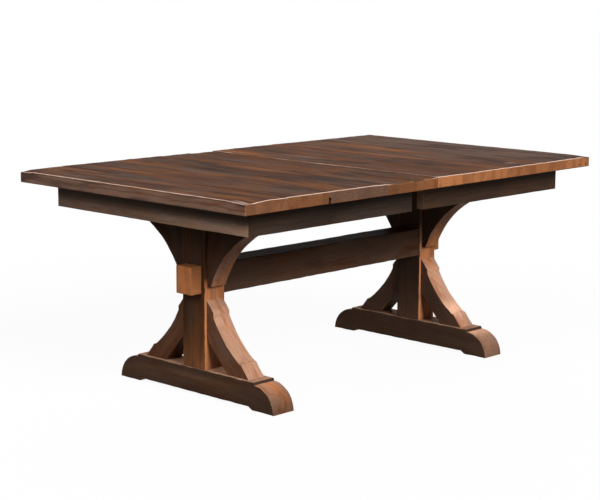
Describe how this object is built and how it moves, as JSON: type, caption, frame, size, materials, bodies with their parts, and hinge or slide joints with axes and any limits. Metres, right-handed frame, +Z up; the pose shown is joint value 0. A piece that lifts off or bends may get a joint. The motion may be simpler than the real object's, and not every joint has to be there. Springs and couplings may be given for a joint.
{
  "type": "trestle dining table",
  "caption": "Extending trestle dining table of reclaimed wood: a boarded top in halves that slide apart on braced trestles joined by a through-tenoned stretcher.",
  "frame": {"origin": "on the floor, under the middle of the closed table", "axes": "+X along the table, +Y across it towards the back, +Z up"},
  "size_m": [1.829, 1.118, 0.752],
  "materials": {
    "top_wood": "satin varnish over worn reclaimed boards",
    "apron_wood": "satin dark stain",
    "base_wood": "satin dark stain, worn at the arrises",
    "inner_wood": "plain, unfinished",
    "slide_wood": "plain hardwood, waxed",
    "nylon": "natural, matte",
    "steel": "zinc plated",
    "pin_steel": "bright"
  },
  "bodies": {
    "base": {"foot_lag_screws": "steel", "head_rail_lag_screws": "steel", "slide_screws": "steel", "stretcher": "base_wood", "front_fixed_rail": "slide_wood", "back_fixed_rail": "slide_wood", "gear_pin": "steel", "gear_board": "inner_wood", "left_brace_dowels": "inner_wood", "left_foot": "base_wood", "left_post": "base_wood", "left_head_rail": "inner_wood", "right_brace_dowels": "inner_wood", "right_foot": "base_wood", "right_post": "base_wood", "right_head_rail": "inner_wood", "left_front_lower_brace": "base_wood", "left_front_upper_brace": "base_wood", "left_back_lower_brace": "base_wood", "left_back_upper_brace": "base_wood", "right_front_lower_brace": "base_wood", "right_front_upper_brace": "base_wood", "right_back_lower_brace": "base_wood", "right_back_upper_brace": "base_wood"},
    "gear": {"equaliser_gear": "nylon"},
    "left_top": {"left_top_board_1": "top_wood", "left_top_board_2": "top_wood", "left_top_board_3": "top_wood", "left_top_board_4": "top_wood", "left_top_board_5": "top_wood", "left_top_board_6": "top_wood", "left_end_apron": "apron_wood", "left_front_apron": "apron_wood", "left_back_apron": "apron_wood", "left_front_runner": "slide_wood", "left_back_runner": "slide_wood", "left_corner_blocks": "inner_wood", "left_rack": "nylon", "left_top_screws": "steel", "latch_pivots": "steel"},
    "right_top": {"right_top_board_1": "top_wood", "right_top_board_2": "top_wood", "right_top_board_3": "top_wood", "right_top_board_4": "top_wood", "right_top_board_5": "top_wood", "right_top_board_6": "top_wood", "right_end_apron": "apron_wood", "right_front_apron": "apron_wood", "right_back_apron": "apron_wood", "right_front_runner": "slide_wood", "right_back_runner": "slide_wood", "right_corner_blocks": "inner_wood", "right_rack": "nylon", "right_top_screws": "steel", "seam_pins": "pin_steel", "latch_strikes": "steel"},
    "front_latch": {"front_latch_lever": "steel"},
    "back_latch": {"back_latch_lever": "steel"}
  },
  "joints": [
    {"name": "left_slide", "type": "slide", "parent": "base", "child": "left_top", "axis": [-1, 0, 0], "range_m": [0, 0.305]},
    {"name": "right_slide", "type": "slide", "parent": "base", "child": "right_top", "axis": [1, 0, 0], "range_m": [0, 0.305]},
    {"name": "gear_spin", "type": "hinge", "parent": "base", "child": "gear", "pos_m": [0, 0, 0.691], "axis": [0, 0, 1], "range_deg": [0, 486]},
    {"name": "front_latch_turn", "type": "hinge", "parent": "left_top", "child": "front_latch", "pos_m": [-0.03, -0.2155, 0.7071], "axis": [0, 0, -1], "range_deg": [0, 90]},
    {"name": "back_latch_turn", "type": "hinge", "parent": "left_top", "child": "back_latch", "pos_m": [-0.03, 0.2155, 0.7071], "axis": [0, 0, 1], "range_deg": [0, 90]}
  ],
  "couplings": [
    {"joint": "right_slide", "follows": "left_slide", "ratio": 1},
    {"joint": "gear_spin", "follows": "left_slide", "rad_per_m": 27.778}
  ]
}
